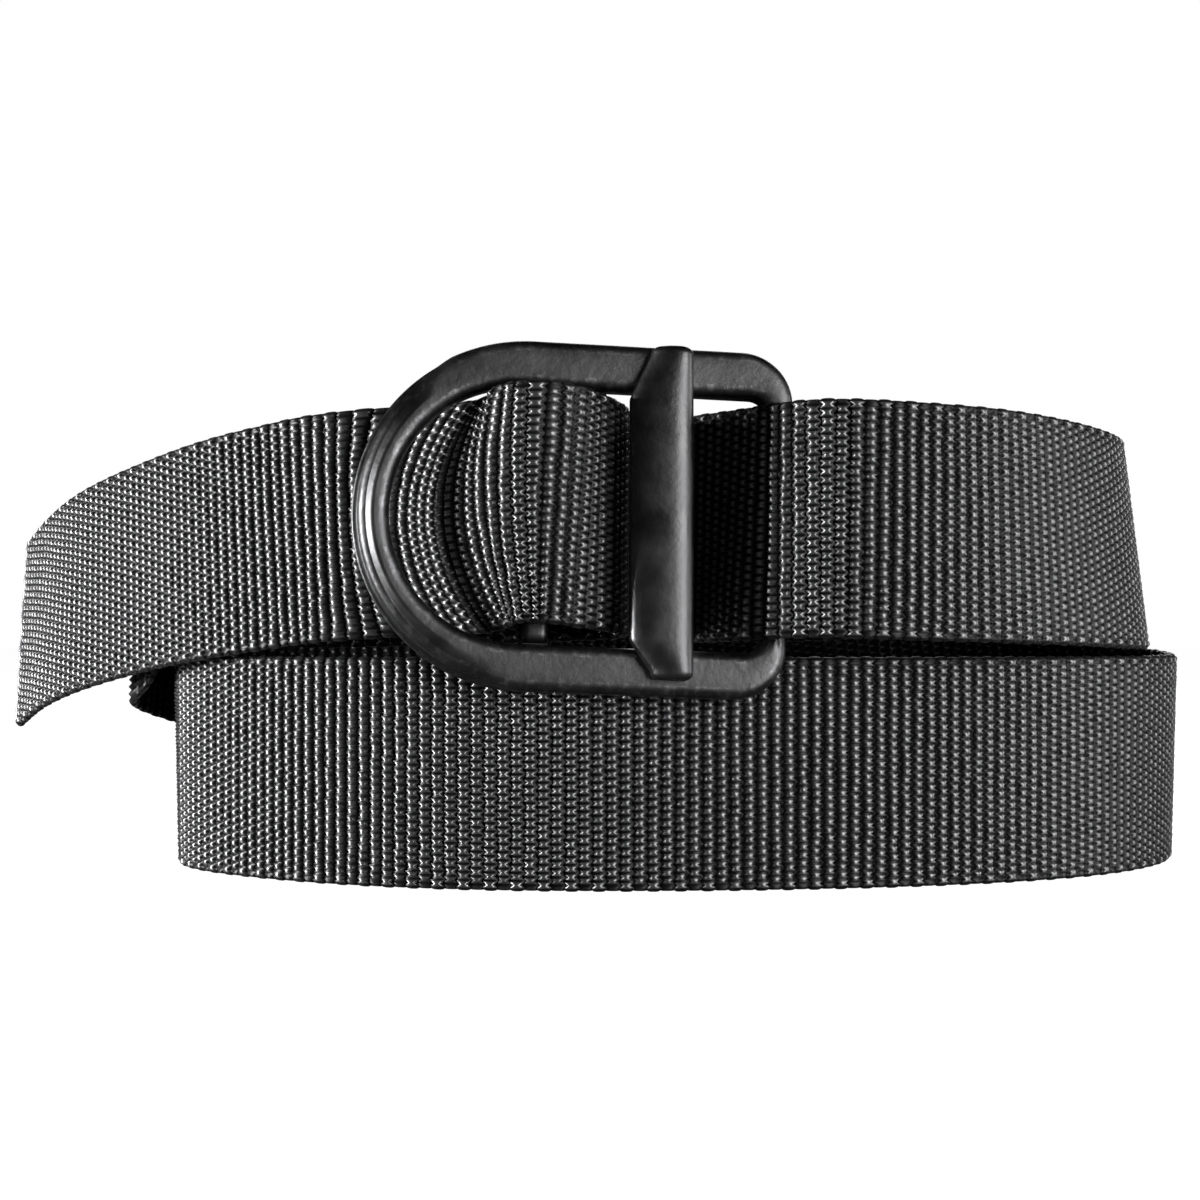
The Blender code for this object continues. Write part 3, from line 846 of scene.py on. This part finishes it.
def coated_steel():
    """Pressed steel, tumbled and then coated black.

    The coat follows the pitted surface, so wide reflections break up into a soft mottle,
    and rubbed edges show as thin bright lines.
    """
    made, tree, shader = new_material("satin_black_steel", Metallic=1.0)
    place = node(tree, "ShaderNodeTexCoord").outputs["Object"]
    wear = node(tree, "ShaderNodeAttribute", attribute_name="wear").outputs["Vector"]
    rubbed = node(tree, "ShaderNodeSeparateXYZ", {"Vector": wear}).outputs["X"]
    # pits of the tumbled steel, about 1.4 mm across
    pits = node(
        tree,
        "ShaderNodeTexNoise",
        {"Vector": place, "Scale": 1 / (PIT_SIZE * MM), "Detail": 3.0, "Roughness": 0.55},
    ).outputs["Fac"]
    # thin and thick places of the coat, about 6 mm across
    coat = node(
        tree,
        "ShaderNodeTexNoise",
        {"Vector": place, "Scale": 1 / (COAT_PATCH * MM), "Detail": 3.0},
    ).outputs["Fac"]
    black = mixed(tree, coat, linear("#282828"), linear("#464647"))
    bare = node(
        tree,
        "ShaderNodeMath",
        {"Value": rubbed, "Value_001": pits},
        operation="MULTIPLY",
    ).outputs["Value"]
    edge = node(
        tree,
        "ShaderNodeMapRange",
        {"Value": bare, "From Min": 0.5, "From Max": 0.8, "To Max": 0.2},
    ).outputs["Result"]
    colour = mixed(tree, edge, black, linear("#a4a4a6"))
    tree.links.new(colour, shader.inputs["Base Color"])
    rough = node(
        tree,
        "ShaderNodeMapRange",
        {"Value": coat, "From Min": 0.3, "From Max": 0.7, "To Min": 0.34, "To Max": 0.48},
    ).outputs["Result"]
    tree.links.new(rough, shader.inputs["Roughness"])
    bump = node(
        tree, "ShaderNodeBump", {"Height": pits, "Strength": 0.5, "Distance": PIT_DEPTH * MM}
    ).outputs["Normal"]
    tree.links.new(bump, shader.inputs["Normal"])
    return made


def melted_nylon():
    """Nylon sealed with a hot blade: the filaments run into a hard, paler, glossy skin."""
    made, tree, shader = new_material("melted_nylon_end", Metallic=0.0, IOR=1.53)
    place = node(tree, "ShaderNodeTexCoord").outputs["Object"]
    # lumps of molten yarn, about 1 mm across
    lumps = node(
        tree, "ShaderNodeTexNoise", {"Vector": place, "Scale": 1 / (LUMP_SIZE * MM), "Detail": 3.0}
    ).outputs["Fac"]
    colour = mixed(tree, lumps, linear("#3c3c40"), linear("#8d8d90"))
    tree.links.new(colour, shader.inputs["Base Color"])
    rough = node(
        tree, "ShaderNodeMapRange", {"Value": lumps, "To Min": 0.22, "To Max": 0.5}
    ).outputs["Result"]
    tree.links.new(rough, shader.inputs["Roughness"])
    bump = node(
        tree, "ShaderNodeBump", {"Height": lumps, "Strength": 0.5, "Distance": LUMP_HEIGHT * MM}
    ).outputs["Normal"]
    tree.links.new(bump, shader.inputs["Normal"])
    return made


def white_acrylic():
    """A white sheet that glows for the camera alone, so that it shows almost no shadow."""
    made, tree, shader = new_material("white_acrylic_sheet", Roughness=0.35, IOR=1.49)
    seen = node(tree, "ShaderNodeLightPath").outputs["Is Camera Ray"]
    glow = node(
        tree, "ShaderNodeMapRange", {"Value": seen, "To Min": FLOOR_LIGHT, "To Max": 1.0}
    ).outputs["Result"]
    tree.links.new(glow, shader.inputs["Emission Strength"])
    place = node(tree, "ShaderNodeTexCoord").outputs["Object"]
    haze = node(tree, "ShaderNodeTexNoise", {"Vector": place, "Scale": 3.0}).outputs["Fac"]
    colour = mixed(tree, haze, linear("#fbfbfb"), linear("#ffffff"))
    shader.inputs["Base Color"].default_value = linear("#707070")
    tree.links.new(colour, shader.inputs["Emission Color"])
    return made


def cut_end(name, at_start, melted):
    """The melted edge of a cut end, a little swollen and uneven."""
    middle, width_way, thick_way, bow = webbing_line()
    end = 0 if at_start else -1
    way = middle[1] - middle[0] if at_start else middle[-1] - middle[-2]
    outward = (-way if at_start else way) / np.linalg.norm(way)
    random = np.random.default_rng(END_SEED)
    across = np.linspace(-1, 1, END_POINTS)
    swells = random.uniform(-1, 1, END_SWELLS)
    swell = 1 + END_SWELL * np.interp(across, np.linspace(-1, 1, END_SWELLS), swells)
    draws = random.uniform(-1, 1, END_DRAWS)
    draw = END_DRAW * np.interp(across, np.linspace(-1, 1, END_DRAWS), draws)
    fall = np.sqrt(np.clip(1 - across**END_SQUARENESS, END_TIP, 1))
    angles = np.linspace(0, 2 * math.pi, END_AROUND, endpoint=False)
    sections = []
    for a, s, d, f in zip(across, swell, draw, fall):
        centre = middle[end] + width_way[end] * a * (WEBBING_WIDTH / 2 - END_INSET)
        centre = centre + np.array([bow[end] * a * a, 0, 0])
        along = np.cos(angles)[:, None] * outward * (END_LENGTH * f + d * f)
        thick = np.sin(angles)[:, None] * thick_way[end] * (WEBBING_THICKNESS / 2 * s * f)
        sections.append(centre + along + thick)
    points = np.array(sections)
    if at_start:
        points = points[::-1]
    piece = skin(name, points, "flat", {})
    piece.data.materials.append(melted)
    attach(piece, "root")
    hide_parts("webbing")


def inner_bar(steel):
    """The plain bar between the legs, that the free end folds round."""
    half_width, half_depth = INNER_BAR_WIDTH / 2, INNER_BAR_DEPTH / 2
    radius = INNER_BAR_EDGE_RADIUS
    section = []
    for first, u, n in ((0, 1, 1), (90, -1, 1), (180, -1, -1), (270, 1, -1)):
        corner = (u * (half_width - radius), n * (half_depth - radius))
        section += corner_turn(corner, radius, first, first + 90, EDGE_STEPS)
    section = np.array(section)
    reach = WINDOW_HEIGHT / 2 - SEAT_GAP
    sections = []
    for v in np.linspace(-reach, reach, INNER_BAR_SECTIONS):
        u = INNER_BAR_U + section[:, 0]
        n = INNER_BAR_N + section[:, 1]
        sections.append(in_plan(np.column_stack([u, np.full(len(u), v), n])))
    worn = np.zeros((INNER_BAR_SECTIONS * len(section), 3))
    points = np.array(sections)[::-1]
    piece = skin("steel_inner_bar", points, "flat", {"wear": worn})
    finish_steel(piece, steel, "inner_bar")


def lamp(name, place, aim, size, watts):
    """A soft rectangular studio light."""
    light = bpy.data.lights.new(name, "AREA")
    light.shape = "RECTANGLE"
    light.size, light.size_y = size
    light.energy = watts
    thing = bpy.data.objects.new(name, light)
    thing.location = place
    thing.rotation_euler = (Vector(aim) - Vector(place)).to_track_quat("-Z", "Y").to_euler()
    bpy.context.scene.collection.objects.link(thing)


def studio():
    """Pale floor, a white room and the lamps."""
    mesh = bpy.data.meshes.new("floor")
    reach = FLOOR_REACH
    mesh.from_pydata(
        [(-reach, -reach, 0), (reach, -reach, 0), (reach, reach, 0), (-reach, reach, 0)],
        [],
        [(0, 1, 2, 3)],
    )
    mesh.materials.append(white_acrylic())
    floor = bpy.data.objects.new("floor", mesh)
    bpy.context.scene.collection.objects.link(floor)
    for row in LAMPS:
        lamp(*row)
    world = bpy.data.worlds.new("white_room")
    world.use_nodes = True
    bpy.context.scene.world = world
    tree = world.node_tree
    seen = node(tree, "ShaderNodeLightPath").outputs["Is Camera Ray"]
    strength = node(
        tree, "ShaderNodeMapRange", {"Value": seen, "To Min": ROOM_LIGHT, "To Max": 1.0}
    ).outputs["Result"]
    tree.nodes["Background"].inputs["Color"].default_value = (1, 1, 1, 1)
    tree.links.new(strength, tree.nodes["Background"].inputs["Strength"])


def camera():
    """A level camera in front of the belt, at the photo's distance."""
    view = bpy.data.cameras.new("camera")
    view.lens = CAMERA_LENS
    view.sensor_width = CAMERA_SENSOR
    view.shift_y = CAMERA_SHIFT_UP
    view.clip_start = NEAREST_SEEN
    thing = bpy.data.objects.new("camera", view)
    thing.location = (-CENTRE_X * MM, (CAMERA_Y - CENTRE_Y) * MM, CAMERA_Z * MM)
    thing.rotation_euler = (math.radians(90), 0, 0)
    bpy.context.scene.collection.objects.link(thing)
    bpy.context.scene.camera = thing


def build():
    """The whole belt in its studio."""
    nylon = black_nylon()
    melted = melted_nylon()
    steel = coated_steel()
    webbing(nylon)
    cut_end("webbing_free_end", False, melted)
    cut_end("webbing_sewn_end", True, melted)
    buckle_ring(steel)
    crossbar(steel)
    inner_bar(steel)
    studio()
    camera()
    bpy.context.scene.view_settings.view_transform = "Standard"


build()
